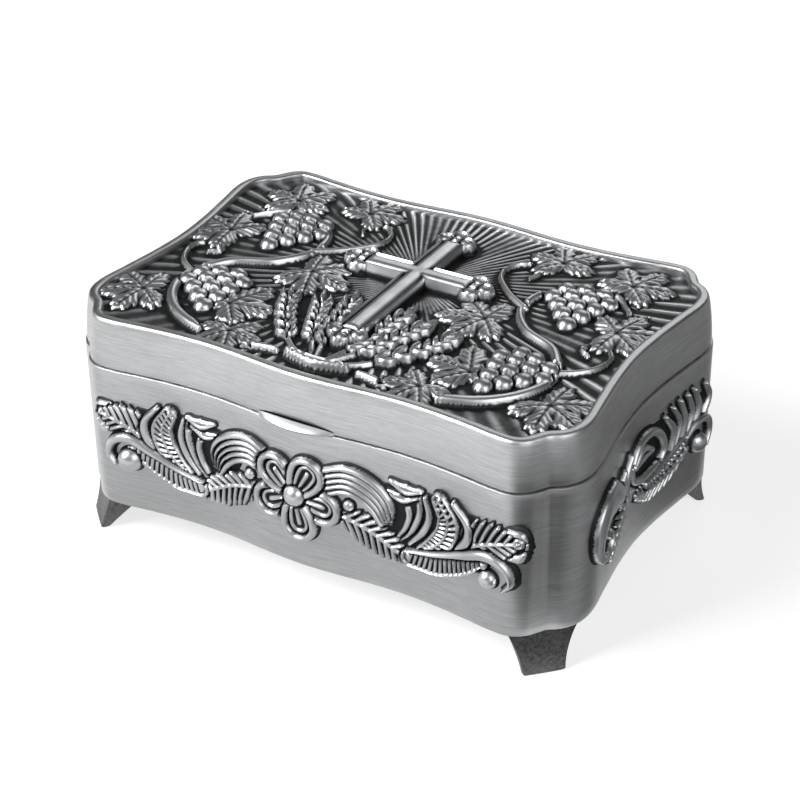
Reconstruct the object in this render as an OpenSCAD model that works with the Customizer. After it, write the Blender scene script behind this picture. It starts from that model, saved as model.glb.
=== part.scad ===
// Rosary box: a serpentine cast-metal casket on four bracket feet, with floral bands on its
// walls, a relief in its lid and a lid that hinges at the back.
// Millimetres. The origin is on the ground under the middle of the box, Z is up, the front
// looks towards -Y, and the lid is drawn closed.

/* [Plan] */
// Length of the lid's top, left to right
lid_length = 120; // [114:1:126]
// Width of the lid's top, front to back
lid_width = 83; // [79:1:87]
// How far the body stands outside the edge of the lid's top
body_flare = 1.5; // [1.4:0.1:1.8]
// How far the lid's lower edge stands outside its top edge
lid_flare = 1.1; // [0.8:0.1:1.2]

/* [Heights] */
// Height of the feet, ground to the body's lower edge
foot_height = 9.5; // [8:0.5:12]
// Height of the body's wall, lower edge to rim
body_height = 34.5; // [32:0.5:45]
// Height of the lid, rim to its top edge
lid_height = 11.5; // [11:0.5:14]

/* [Walls] */
// Thickness of the body's cast wall
wall = 2.4; // [2.2:0.1:2.8]
// Thickness of the floor plate
floor_thickness = 1.2; // [1:0.1:1.6]
// Width of the raised rim round the lid's field
rim_width = 2.3; // [2:0.1:3]
// Depth of the lid's field below its rim
field_depth = 2; // [1.6:0.1:2.4]
// Thickness of the lid's top below the field
lid_top = 1.6; // [1.4:0.1:2]

/* [Lining] */
// Thickness of the velvet-covered card on the walls and in the lid
lining = 1; // [0.8:0.1:1.2]
// Thickness of the padded floor
pad = 1.6; // [1.2:0.1:2]
// How far the wall lining stands above the rim, to centre the lid
lining_lip = 1.5; // [1:0.1:2]

/* [Ornament] */
// How far the ground of the floral bands stands off the wall
band_ground = 0.8; // [0.6:0.1:1]
// How far the high parts of the floral bands stand off the wall
band_relief = 1.8; // [1.5:0.1:2]
// Height of the flower's centre above the ground
flower_height = 27.6; // [27:0.1:29]
// How far the motifs of the lid's relief stand above its ground
lid_relief_height = 1.7; // [1.2:0.1:1.8]

/* [Hinge] */
// Length of the hinge's leaves
hinge_length = 26; // [22:1:28]
// Radius of the knuckles
knuckle_radius = 1.8; // [1.6:0.1:2]
// Radius of the hinge pin
pin_radius = 0.8; // [0.7:0.05:0.9]
// Height of each leaf
leaf_height = 4.8; // [4.7:0.1:4.9]
// Angle at which the stop meets the body's leaf
stop_angle = 101.5; // [95:0.5:110]

/* [Hidden] */

$fn = 48;
seam_z = foot_height + body_height;
top_z = seam_z + lid_height;
cut = 1;
gap = 0.1;
// The knuckles stand out behind, so the plan's middle lies before the origin, which is under the
// middle of the whole box
plan_forward = 1.8;

pewter = [0.72, 0.73, 0.74];
dark_pewter = [0.3, 0.3, 0.31];
steel = [0.78, 0.78, 0.8];
velvet = [0.35, 0.03, 0.06];

// ---- Plan of the box -------------------------------------------------------------------------

// Key points of a quarter of the lid top's plan, for a lid 120 by 83: from the middle of the
// right side, up its hollow to the corner's two lobes with the cove between them, then along
// the back's hollow to the bulge in its middle.
quarter_plan = [[57.1, 0], [57.7, 9.6], [59.0, 19.2], [60, 27.4], [59.3, 31.4], [57.4, 34.2],
    [55.1, 35.9], [53.8, 37.8], [52.4, 39.7], [49.9, 41.2], [46.4, 41.3], [40, 40.5],
    [32, 39.65], [24, 39.35], [16, 39.7], [8, 40.45], [0, 40.85]];
last_key = len(quarter_plan) - 1;

function mirrored(p, sx, sy) = [p[0] * sx * lid_length / 120, p[1] * sy * lid_width / 83];
plan_keys = concat(
    [for (i = [0:last_key]) mirrored(quarter_plan[i], 1, 1)],
    [for (i = [last_key - 1:-1:0]) mirrored(quarter_plan[i], -1, 1)],
    [for (i = [1:last_key]) mirrored(quarter_plan[i], -1, -1)],
    [for (i = [last_key - 1:-1:1]) mirrored(quarter_plan[i], 1, -1)]);
key_count = len(plan_keys);
back_key = last_key;
left_key = 2 * last_key;
front_key = 3 * last_key;
span_steps = 3;

function unit(v) = v / norm(v);
function lerp(a, b, t) = a + (b - a) * t;
function plan_key(i) = plan_keys[(i + key_count) % key_count];

// A smooth curve through key points: each key's tangent bisects the two chords that meet there,
// and is as long as the chord of the span it serves.
function bisector(before, here, after) = unit(unit(here - before) + unit(after - here));
function hermite(a, b, ta, tb, t) = (2*t^3 - 3*t^2 + 1) * a + (t^3 - 2*t^2 + t) * ta
    + (3*t^2 - 2*t^3) * b + (t^3 - t^2) * tb;
function hermite_slope(a, b, ta, tb, t) = (6*t^2 - 6*t) * a + (3*t^2 - 4*t + 1) * ta
    + (6*t - 6*t^2) * b + (3*t^2 - 2*t) * tb;

// One point of the plan, "reach" outside the lid top's edge; s counts spans from the middle of
// the right side, anticlockwise
function plan_point(s, reach) = let (
        i = floor(s), t = s - i, a = plan_key(i), b = plan_key(i + 1), chord = norm(b - a),
        ta = chord * bisector(plan_key(i - 1), a, b),
        tb = chord * bisector(a, b, plan_key(i + 2)),
        along = unit(hermite_slope(a, b, ta, tb, t)))
    hermite(a, b, ta, tb, t) + reach * [along[1], -along[0]];
function run(from, to, reach) =
    [for (k = [from * span_steps:to * span_steps]) plan_point(k / span_steps, reach)];
function outline(reach) = run(0, key_count - 1 / span_steps, reach);

module slab(reach, from_z, to_z) {
    translate([0, 0, from_z]) linear_extrude(to_z - from_z) polygon(outline(reach));
}

module at_corner(sx, sy) {
    mirror([sx < 0 ? 1 : 0, 0, 0]) mirror([0, sy < 0 ? 1 : 0, 0]) children();
}

// ---- Curves for the ornament -----------------------------------------------------------------

curve_steps = 4;
function path_key(path, i) = path[max(0, min(len(path) - 1, i))];
function path_tangent(path, i) = unit(path_key(path, i + 1) - path_key(path, i - 1));
function path_point(path, i, t) = let (a = path[i], b = path[i + 1], chord = norm(b - a))
    hermite(a, b, chord * path_tangent(path, i), chord * path_tangent(path, i + 1), t);
function path_along(path, i, t) = let (a = path[i], b = path[i + 1], chord = norm(b - a))
    unit(hermite_slope(a, b, chord * path_tangent(path, i), chord * path_tangent(path, i + 1), t));
function path_side(path, k, half) = let (
        spans = len(path) - 1, i = min(floor(k / curve_steps), spans - 1),
        t = k / curve_steps - i, along = path_along(path, i, t))
    path_point(path, i, t) + half * [along[1], -along[0]];

// A stroke that follows a path, w0 wide where it starts and w1 where it ends
module stroke(path, w0, w1) {
    n = (len(path) - 1) * curve_steps;
    polygon(concat([for (k = [0:n]) path_side(path, k, lerp(w0, w1, k / n) / 2)],
        [for (k = [n:-1:0]) path_side(path, k, -lerp(w0, w1, k / n) / 2)]));
}

// A leaf that follows a path, pointed at both ends and w wide in its middle
module leaf(path, w) {
    n = (len(path) - 1) * curve_steps;
    polygon(concat([for (k = [0:n]) path_side(path, k, w / 2 * sin(180 * k / n))],
        [for (k = [n - 1:-1:1]) path_side(path, k, -w / 2 * sin(180 * k / n))]));
}

// ---- Body ------------------------------------------------------------------------------------

flange_height = 2;
floor_bottom = foot_height + flange_height;
floor_top = floor_bottom + floor_thickness;
cavity_reach = body_flare - wall;
screw_spot = [52.7, 33];
screw_radius = 1;
screw_head_radius = 1.8;
screw_head_height = 0.9;
seat_y = lid_width / 83 * 40.85 + body_flare + 0.05;
seat_half = hinge_length / 2 + 0.5;
seat_depth = 2.4;
leaf_thickness = 0.8;
leaf_head_radius = 1.2;
leaf_head_height = 0.6;
leaf_screw_x = hinge_length / 2 - 2.6;
leaf_screw_drop = 3.3;
seat_margin = 0.4;
leaf_screw_radius = 0.7;
leaf_screw_length = 3.1;

// The opening under the floor: its cut corners leave webs that the feet are screwed to
module floor_opening() {
    half_l = lid_length / 2 - 6;
    half_w = lid_width / 2 - 5;
    corner = 15;
    polygon([for (q = [[1, 1], [-1, 1], [-1, -1], [1, -1]])
        each q[0] * q[1] > 0
            ? [[q[0] * half_l, q[1] * (half_w - corner)], [q[0] * (half_l - corner), q[1] * half_w]]
            : [[q[0] * (half_l - corner), q[1] * half_w], [q[0] * half_l, q[1] * (half_w - corner)]]]);
}

module at_screw_spots() {
    for (sx = [-1, 1], sy = [-1, 1])
        translate([sx * screw_spot[0], sy * screw_spot[1], 0]) children();
}

// The flat pad behind a leaf, from_z up
module hinge_seat(from_z) {
    translate([-seat_half, seat_y - seat_depth, from_z])
        cube([2 * seat_half, seat_depth, leaf_height + seat_margin]);
}

// Blind holes for a leaf's screws, bored forwards from the hinge's seat
module leaf_screw_holes(z, radius, depth) {
    for (sx = [-1, 1])
        translate([sx * leaf_screw_x, seat_y - depth, z]) rotate([-90, 0, 0])
            cylinder(r = radius, h = depth + leaf_thickness + cut);
}

module body_shell() {
    color(pewter) difference() {
        union() {
            slab(body_flare, foot_height, seam_z);
            hinge_seat(seam_z - leaf_height - seat_margin);
        }
        slab(cavity_reach, floor_bottom, seam_z + cut);
        translate([0, 0, foot_height - cut]) linear_extrude(flange_height + 2 * cut)
            floor_opening();
        at_screw_spots() translate([0, 0, foot_height - cut])
            cylinder(r = screw_radius + gap, h = flange_height + 2 * cut);
        leaf_screw_holes(seam_z - leaf_screw_drop, leaf_screw_radius, leaf_screw_length);
    }
}

module floor_plate() {
    color(dark_pewter) difference() {
        slab(cavity_reach - gap, floor_bottom, floor_top);
        at_screw_spots() {
            translate([0, 0, floor_bottom - cut])
                cylinder(r = screw_radius + gap, h = floor_thickness + 2 * cut);
            translate([0, 0, floor_top - screw_head_height])
                cylinder(r1 = screw_radius + gap, r2 = screw_head_radius + gap,
                    h = screw_head_height);
        }
    }
}

// ---- Feet ------------------------------------------------------------------------------------

// A foot stands under the corner from lobe to lobe. Below, it narrows to its middle, kicks
// outwards and thins to a toe.
foot_ends = [plan_point(4, body_flare), plan_point(9, body_flare)];
foot_middle = (foot_ends[0] + foot_ends[1]) / 2;
foot_half = norm(foot_ends[1] - foot_ends[0]) / 2;
foot_levels = 6;
foot_depth = 8.6;
toe_kick = 2.2;
toe_narrowing = 0.62;
toe_depth = 2;
outward = unit([1, 1]);
sideways = unit([-1, 1]);
screw_depth = 2.4;

function foot_side(t) = foot_half * lerp(toe_narrowing, 1, t^1.6);
function foot_face(t) = toe_kick * (1 - t)^1.5;
function foot_back(t) = foot_face(t) - lerp(toe_depth, foot_depth, t);
// Both edges of an upright outline, up the first and down the second
foot_rise = [for (k = [0:foot_levels]) k / foot_levels];
foot_fall = [for (k = [foot_levels:-1:0]) k / foot_levels];

module foot(sx, sy) {
    color(dark_pewter) at_corner(sx, sy) difference() {
        rotate(45) translate([foot_middle * outward, foot_middle * sideways, 0]) intersection() {
            rotate([90, 0, 0]) linear_extrude(3 * foot_half, center = true)
                polygon(concat([for (t = foot_rise) [foot_face(t), t * foot_height]],
                    [for (t = foot_fall) [foot_back(t), t * foot_height]]));
            rotate([90, 0, 90]) linear_extrude(3 * foot_depth, center = true)
                polygon(concat([for (t = foot_rise) [foot_side(t), t * foot_height]],
                    [for (t = foot_fall) [-foot_side(t), t * foot_height]]));
        }
        translate([screw_spot[0], screw_spot[1], foot_height - screw_depth - 0.2])
            cylinder(r = screw_radius + 0.05, h = screw_depth + cut);
    }
}

module foot_front_left() { foot(-1, -1); }
module foot_front_right() { foot(1, -1); }
module foot_back_left() { foot(-1, 1); }
module foot_back_right() { foot(1, 1); }

module foot_screws() {
    slot = [2.4, 0.4, 0.4];
    color(steel) at_screw_spots() difference() {
        union() {
            translate([0, 0, foot_height - screw_depth])
                cylinder(r = screw_radius, h = screw_depth + flange_height + floor_thickness);
            translate([0, 0, floor_top - screw_head_height])
                cylinder(r1 = screw_radius, r2 = screw_head_radius, h = screw_head_height);
        }
        translate([-slot[0] / 2, -slot[1] / 2, floor_top - slot[2]])
            cube([slot[0], slot[1], slot[2] + cut]);
    }
}

// ---- Floral bands ----------------------------------------------------------------------------

// Each motif is drawn flat, x along the wall and y above the flower's centre, then laid on the
// wall. The long bands have a flower in the middle and a mirrored half on each side of it.

petal_radius = 4.3;
petal_ring = 5.9;
flower_ball = 2.7;
function petal_spot(k) = petal_ring * [sin(72 * k + 28), cos(72 * k + 28)];

crest_plume = [[5, 4.5], [10, 7.6], [15.5, 7.4], [19.6, 4], [20.8, -0.6]];
inner_plume = [[17, 9], [21.6, 7], [24.4, 3], [24, -3]];
middle_plume = [[23.5, 9.2], [28, 7.6], [29.2, 2], [25.6, -4.2]];
outer_plume = [[34, 9.6], [36, 5], [34, -0.5], [27, -5.2]];
rim_plume = [[38, 9.6], [40.6, 5], [38, -1.5], [29, -6.4]];
low_fern = [[8.5, -4.6], [14, -4.2], [20, -6.4], [27.5, -9.2]];
high_fern = [[10.5, -0.8], [15, -0.4], [20, -3], [25.5, -6.4]];
sweep = [[22.5, -8.6], [30, -8], [37, -5.6], [43.5, -2]];
scroll = [[41, -3], [45.5, -0.4], [49.8, -1], [51.4, -4], [49, -6.6]];
scroll_ball = [46, -5];
end_fern = [[38.5, -0.4], [43, 3.4], [48, 6.6], [53.4, 9.2]];

module flower(petal_size) {
    for (k = [0:4]) translate(petal_spot(k)) circle(r = petal_size);
}

module half_band_ground() {
    stroke(crest_plume, 9, 3);
    stroke(inner_plume, 3, 3.6);
    stroke(middle_plume, 3.4, 4);
    stroke(outer_plume, 4.4, 4);
    stroke(rim_plume, 2.6, 2.6);
    leaf(low_fern, 7);
    leaf(high_fern, 5);
    stroke(sweep, 3.6, 4.4);
    stroke(scroll, 4, 2);
    translate(scroll_ball) circle(r = 2.2);
    leaf(end_fern, 9.4);
    stroke([[20, -3], [28, -2.5], [34, -3.5], [40, -1.5]], 6, 4);
}

module half_band_relief() {
    stroke(crest_plume, 5, 1.6);
    stroke(inner_plume, 1.2, 1.4);
    stroke(middle_plume, 1.6, 2);
    stroke(outer_plume, 2.6, 1.8);
    stroke(rim_plume, 1.4, 1.2);
    leaf(low_fern, 4);
    leaf(end_fern, 5.6);
    stroke(sweep, 2, 2.4);
    stroke(scroll, 2.2, 1.2);
}

module mirrored_pair() {
    children();
    mirror([1, 0]) children();
}

// A strip of the wall from key "from" to key "to", standing off by "height"
module wall_strip(from, to, height) {
    outer = run(from, to, body_flare + height);
    inner = run(from, to, body_flare);
    translate([0, 0, foot_height]) linear_extrude(body_height)
        polygon(concat(inner, [for (k = [len(outer) - 1:-1:0]) outer[k]]));
}

// Stands a flat drawing up against the wall that faces "turn" degrees from the front
module on_wall(turn) {
    reach = max(lid_length, lid_width);
    rotate([0, 0, turn]) translate([0, 0, flower_height]) rotate([90, 0, 0])
        linear_extrude(reach) children();
}

module long_band(turn, middle_key) {
    from = middle_key - 9;
    to = middle_key + 9;
    intersection() {
        wall_strip(from, to, band_ground);
        on_wall(turn) {
            flower(petal_radius + 0.4);
            circle(r = petal_ring);
            mirrored_pair() half_band_ground();
        }
    }
    intersection() {
        wall_strip(from, to, band_relief);
        on_wall(turn) {
            difference() {
                flower(petal_radius);
                flower(petal_radius - 1.6);
            }
            circle(r = flower_ball);
            mirrored_pair() half_band_relief();
        }
    }
}

side_bud = [[-7, 4], [-1, 8], [6, 6], [9, 1]];
side_bud_low = [[-7, 3], [0, -1.2], [7, 1]];
side_plume = [[8, -2], [13, 0], [18, 5], [20, 9.6]];
side_outer_plume = [[14, -3], [19, -1], [24, 4], [27, 8.6]];
side_sweep = [[0, -4.6], [8, -4.4], [15, -2.6], [20.5, 0]];
side_scroll = [[18, -1.4], [23, 0.6], [27, -1], [27.4, -4.4]];
side_ball = [24.6, -5.2];
side_near_scroll = [[-4, 8.6], [-12, 6.6], [-20, 1], [-25, -5]];
side_near_curl = [[-16, 3], [-23, 7.6], [-30.5, 5.4], [-30, -2], [-24, -7.6], [-17, -7]];

module side_band_motifs(thick) {
    stroke(side_bud, 2.6 * thick, 2.2 * thick);
    stroke(side_bud_low, 2.4 * thick, 2.4 * thick);
    stroke(side_plume, 2.2 * thick, 2.4 * thick);
    stroke(side_outer_plume, 2.2 * thick, 2.4 * thick);
    stroke(side_sweep, 2.4 * thick, 2.2 * thick);
    stroke(side_scroll, 2.4 * thick, 1.2 * thick);
    stroke(side_near_scroll, 3 * thick, 3.4 * thick);
    stroke(side_near_curl, 3.2 * thick, 2 * thick);
    translate(side_ball) circle(r = 2.6);
}

module side_band(turn, middle_key) {
    from = middle_key - 7;
    to = middle_key + 7;
    intersection() {
        wall_strip(from, to, band_ground);
        on_wall(turn) {
            side_band_motifs(1.5);
            leaf([[-10, 2.5], [0, 4], [11, 2]], 9);
            leaf([[-20, -4], [-4, -5.4], [14, -4]], 6.5);
            leaf([[6, 3], [16, 3], [27, 3]], 9);
        }
    }
    intersection() {
        wall_strip(from, to, band_relief);
        on_wall(turn) side_band_motifs(0.75);
    }
}

module ornament_front() { color(pewter) long_band(0, front_key); }
// The back band is cut back under the hinge's seat
module ornament_back() {
    color(pewter) difference() {
        long_band(180, back_key);
        translate([-seat_half - gap, lid_width / 4, seam_z - leaf_height - seat_margin - gap])
            cube([2 * (seat_half + gap), lid_width / 2, leaf_height]);
    }
}
module ornament_right() { color(pewter) side_band(90, key_count); }
module ornament_left() { color(pewter) side_band(-90, left_key); }

// ---- Hinge -----------------------------------------------------------------------------------

seat_clearance = 0.15;
axis_y = seat_y + knuckle_radius + seat_clearance;
knuckles = 5;
knuckle_pitch = hinge_length / knuckles;
knuckle_gap = 0.12;
pin_clearance = 0.05;
heel_reach = 4;
heel_thickness = 1;
// Depth of the heel's lower face below the axis, so that its tip meets the leaf at the stop
heel_drop = (heel_reach * cos(stop_angle) + axis_y - seat_y - leaf_thickness) / sin(stop_angle);

module at_axis() {
    translate([0, axis_y, seam_z]) rotate([0, 90, 0]) children();
}

// Cylinders along the hinge's axis over the knuckles from "first" in steps of two
module barrels(first, radius, spare) {
    for (k = [first:2:knuckles - 1])
        at_axis() translate([0, 0, k * knuckle_pitch - hinge_length / 2 - spare / 2])
            cylinder(r = radius, h = knuckle_pitch + spare);
}

module leaf_head_sinks(z) {
    for (sx = [-1, 1])
        translate([sx * leaf_screw_x, seat_y + leaf_thickness - leaf_head_height, z])
            rotate([-90, 0, 0])
                cylinder(r1 = leaf_screw_radius, r2 = leaf_head_radius, h = leaf_head_height);
}

// A leaf with its knuckles; up is 1 for the lid's leaf and -1 for the body's
module hinge_leaf(first, up, screw_z) {
    difference() {
        union() {
            difference() {
                translate([-hinge_length / 2, seat_y, up > 0 ? seam_z + gap : seam_z - leaf_height])
                    cube([hinge_length, leaf_thickness, leaf_height - gap]);
                barrels(1 - first, knuckle_radius + 0.2, knuckle_gap);
            }
            barrels(first, knuckle_radius, -knuckle_gap);
        }
        at_axis() translate([0, 0, -hinge_length])
            cylinder(r = pin_radius + pin_clearance, h = 2 * hinge_length);
        leaf_screw_holes(screw_z, leaf_screw_radius, leaf_screw_length);
        leaf_head_sinks(screw_z);
    }
}

module hinge_leaf_body() {
    color(steel) hinge_leaf(0, -1, seam_z - leaf_screw_drop);
}

// The lid's leaf has a heel behind each knuckle, which meets the body's leaf when the lid is open
module hinge_leaf_lid() {
    color(steel) {
        hinge_leaf(1, 1, seam_z + leaf_screw_drop);
        for (k = [1:2:knuckles - 1])
            translate([k * knuckle_pitch - hinge_length / 2 + knuckle_gap / 2,
                    axis_y + pin_radius + 0.4, seam_z - heel_drop])
                cube([knuckle_pitch - knuckle_gap, heel_reach - pin_radius - 0.4, heel_thickness]);
    }
}

module hinge_pin() {
    head = [1.2, 0.5];
    color(steel) at_axis() {
        translate([0, 0, -hinge_length / 2 - head[1]])
            cylinder(r = pin_radius, h = hinge_length + 2 * head[1]);
        for (z = [-hinge_length / 2 - head[1], hinge_length / 2])
            translate([0, 0, z]) cylinder(r = head[0], h = head[1]);
    }
}

module leaf_screws(z) {
    play = 0.05;
    color(steel) for (sx = [-1, 1])
        translate([sx * leaf_screw_x, seat_y + leaf_thickness, z]) rotate([90, 0, 0]) {
            cylinder(r1 = leaf_head_radius - play, r2 = leaf_screw_radius - play,
                h = leaf_head_height);
            cylinder(r = leaf_screw_radius - play, h = leaf_thickness + leaf_screw_length - 0.3);
        }
}
module hinge_screws_body() { leaf_screws(seam_z - leaf_screw_drop); }
module hinge_screws_lid() { leaf_screws(seam_z + leaf_screw_drop); }

// ---- Lining ----------------------------------------------------------------------------------

lining_reach = cavity_reach - gap;

module wall_lining() {
    color(velvet) difference() {
        slab(lining_reach, floor_top, seam_z + lining_lip);
        slab(lining_reach - lining, floor_top - cut, seam_z + lining_lip + cut);
    }
}

module floor_pad() {
    color(velvet) slab(lining_reach - lining - gap, floor_top, floor_top + pad);
}

// ---- Lid -------------------------------------------------------------------------------------

field_z = top_z - field_depth;
lid_cavity_top = field_z - lid_top;
lip_clearance = 0.5;

// Heights above the rim and reaches of the lid's outer face, from its upright lower edge to the
// round of its top
lid_profile = [[0, lid_flare], [1.6, lid_flare], [5, 0.85], [8, 0.5], [lid_height - 1.4, 0.15],
    [lid_height - 0.5, -0.1], [lid_height - 0.12, -0.4], [lid_height, -0.8]];

// A closed solid through rings of the same number of points, given as 3D points, lowest first
module loft(rings) {
    n = len(rings[0]);
    m = len(rings);
    polyhedron([for (ring = rings) each ring], concat(
        [[for (i = [0:n - 1]) i]],
        [for (k = [0:m - 2], i = [0:n - 1]) let (j = (i + 1) % n)
            each [[k * n + i, (k + 1) * n + i, (k + 1) * n + j], [k * n + i, (k + 1) * n + j, k * n + j]]],
        [[for (i = [n - 1:-1:0]) (m - 1) * n + i]]));
}
function raised(ring, z) = [for (p = ring) [p[0], p[1], z]];

module lid_shell() {
    color(pewter) difference() {
        union() {
            loft([for (step = lid_profile) raised(outline(step[1]), seam_z + step[0])]);
            hinge_seat(seam_z);
        }
        slab(-rim_width, field_z, top_z + cut);
        slab(cavity_reach + lip_clearance, seam_z - cut, seam_z + lining_lip + 0.5);
        slab(cavity_reach, seam_z, lid_cavity_top);
        leaf_screw_holes(seam_z + leaf_screw_drop, leaf_screw_radius, leaf_screw_length);
    }
}

module lid_lining() {
    color(velvet) slab(lining_reach, lid_cavity_top - lining, lid_cavity_top);
}

// The lift is a crescent on the lid's lower front edge, with a face that slopes down outwards
lift_half = 9.3;
lift_reach = 2.5;
lift_height = 1.5;

module thumb_lift() {
    chord_y = lid_width / 83 * 40.4 + lid_flare;
    rise = lid_width / 83 * 40.85 + lid_flare + lift_reach - chord_y;
    radius = (lift_half^2 + rise^2) / (2 * rise);
    slope = 24;
    color(pewter) difference() {
        translate([0, -(chord_y + rise - radius), seam_z + gap])
            cylinder(r = radius, h = lift_height - gap, $fn = 96);
        slab(lid_flare, seam_z - cut, seam_z + lift_height + cut);
        translate([-lift_half - cut, -(chord_y + 0.9), seam_z + lift_height])
            rotate([slope, 0, 0]) mirror([0, 1, 0])
                cube([2 * (lift_half + cut), 3 * lift_reach, lift_height]);
        translate([-radius - cut, -lid_width / 4, seam_z])
            cube([2 * (radius + cut), lid_width, lift_height + cut]);
    }
}

// ---- Lid relief ------------------------------------------------------------------------------

relief_ground = 0.5;
relief_reach = -rim_width - 0.15;
cross_bar = 6;
cross_foot = -24;
cross_head = 25;
cross_arm = 14;
crossing = 9;

// Right half of the vine: its stem, leaves and grapes, mirrored to the left
vine_stem = [[5, -29], [17, -27], [27, -17], [24, -5], [31, 5], [44, 4], [50, -7]];
vine_branch = [[25, -8], [37, -14], [47, -24]];
vine_leaves = [[[12, -28], [16, -35]], [[20, -24], [12, -17]], [[30, 4], [22, 13]],
    [[43, 4], [46, 15]], [[44, -21], [53, -26]], [[33, -13], [34, -23]]];
grape_spots = [[41, -6], [30, -30], [34, 14]];
wheat_stalks = [[[0, -33], [-3, -22], [-9, -12]], [[0, -33], [-6, -26], [-14, -18]]];
wheat_tie = 2;

module grapes() {
    pitch = 3.5;
    for (row = [0:2], k = [0:2 - row])
        translate([(k - (2 - row) / 2) * pitch, -row * pitch * 0.88, 0])
            cylinder(r1 = 1.7, r2 = 1, h = 0.9 * lid_relief_height);
}

module relief_motifs() {
    linear_extrude(lid_relief_height) {
        translate([-cross_bar / 2, cross_foot]) square([cross_bar, cross_head - cross_foot]);
        translate([-cross_arm, crossing - cross_bar / 2]) square([2 * cross_arm, cross_bar]);
    }
    linear_extrude(lid_relief_height * 0.75) {
        mirrored_pair() {
            stroke(vine_stem, 2.2, 1.4);
            stroke(vine_branch, 1.8, 1.2);
            for (ends = vine_leaves) leaf([ends[0], (ends[0] + ends[1]) / 2, ends[1]], 7);
        }
        mirrored_pair() for (stalk = wheat_stalks) leaf(stalk, 3);
        translate(wheat_stalks[0][0]) circle(r = wheat_tie);
    }
    for (side = [0, 1]) mirror([side, 0, 0])
        for (spot = grape_spots) translate([spot[0], spot[1], 0]) grapes();
}

// Low rays between the motifs, from the crossing to the rim
module relief_rays() {
    rays = 24;
    for (k = [0:rays - 1]) translate([0, crossing]) rotate(k * 360 / rays + 180 / rays)
        polygon([[12, -0.3], [80, -1.4], [80, 1.4], [12, 0.3]]);
}

module lid_relief() {
    color(pewter) {
        slab(relief_reach, field_z, field_z + relief_ground);
        intersection() {
            slab(relief_reach - 0.6, field_z + relief_ground / 2, top_z + 5);
            union() {
                translate([0, 0, field_z + relief_ground]) relief_motifs();
                translate([0, 0, field_z]) linear_extrude(relief_ground + 0.3) relief_rays();
            }
        }
    }
}

translate([0, -plan_forward, 0]) {
    body_shell();
    floor_plate();
    foot_front_left();
    foot_front_right();
    foot_back_left();
    foot_back_right();
    foot_screws();
    ornament_front();
    ornament_back();
    ornament_left();
    ornament_right();
    hinge_leaf_body();
    hinge_screws_body();
    hinge_pin();
    wall_lining();
    floor_pad();
    lid_shell();
    lid_relief();
    lid_lining();
    thumb_lift();
    hinge_leaf_lid();
    hinge_screws_lid();
}
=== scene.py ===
"""The looks of a small serpentine pewter rosary box: brushed walls, floral bands in relief, a
raised rim round a cast lid relief, dark bracket feet and a velvet lining.

Sizes in the shape functions are millimetres; meshes are written in metres.
"""

import math

import bpy
import numpy as np
from mathutils import Matrix, Vector


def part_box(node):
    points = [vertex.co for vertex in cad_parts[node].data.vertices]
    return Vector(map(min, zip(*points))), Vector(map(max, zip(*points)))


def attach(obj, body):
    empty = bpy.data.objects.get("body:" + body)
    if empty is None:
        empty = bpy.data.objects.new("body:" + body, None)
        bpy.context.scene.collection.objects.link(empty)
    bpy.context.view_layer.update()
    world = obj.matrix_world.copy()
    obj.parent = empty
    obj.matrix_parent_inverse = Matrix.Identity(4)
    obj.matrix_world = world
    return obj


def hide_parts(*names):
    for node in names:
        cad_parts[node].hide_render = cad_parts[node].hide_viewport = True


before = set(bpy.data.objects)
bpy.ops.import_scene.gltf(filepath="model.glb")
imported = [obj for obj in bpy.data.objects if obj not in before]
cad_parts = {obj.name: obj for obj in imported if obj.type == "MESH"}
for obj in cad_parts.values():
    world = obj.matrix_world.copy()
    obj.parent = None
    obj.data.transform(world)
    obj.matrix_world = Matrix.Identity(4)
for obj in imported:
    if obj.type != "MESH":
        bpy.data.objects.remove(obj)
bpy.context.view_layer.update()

MM = 0.001
TURN = 2 * math.pi
# The frame's origin is under the middle of the whole box, with its hinge; shapes are drawn about
# the middle of the plan, which lies in front of it
PLAN_MIDDLE = np.array([0.0, -1.8, 0.0])

# ---- Levels and reaches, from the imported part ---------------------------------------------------


def level(node, corner):
    """Height in mm of a part's lowest (0) or highest (1) corner."""
    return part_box(node)[corner].z / MM


FOOT_TOP = level("body_shell", 0)
SEAM = level("body_shell", 1)
LID_TOP = level("lid_shell", 1)
FLOOR_BOTTOM = level("floor_plate", 0)
FLOOR_TOP = level("floor_plate", 1)
PAD_TOP = level("floor_pad", 1)
LINING_TOP = level("wall_lining", 1)
LID_LINING_LOW = level("lid_lining", 0)
LID_LINING_HIGH = level("lid_lining", 1)
FIELD = level("lid_relief", 0)

# The hinge's seats: a margin of wall is left round the leaves
SEAT_MARGIN = 0.4
SEAT_HALF = 13.5
SEAT_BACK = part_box("hinge_leaf_body")[0].y / MM - PLAN_MIDDLE[1]
SEAT_LOW = level("hinge_leaf_body", 0) - SEAT_MARGIN
SEAT_HIGH = level("hinge_leaf_lid", 1) + SEAT_MARGIN

# How far surfaces stand outside the edge of the lid's top
BODY_REACH = 1.5
LID_REACH = 1.1
CAVITY_REACH = -0.9
LINING_REACH = -1.0

LINING_THICK = 1.0
RIM_WIDTH = 2.3
# Height of the bands' middle
BAND_HEIGHT = 27.6

# ---- Plan of the box ----------------------------------------------------------------------------

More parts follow.
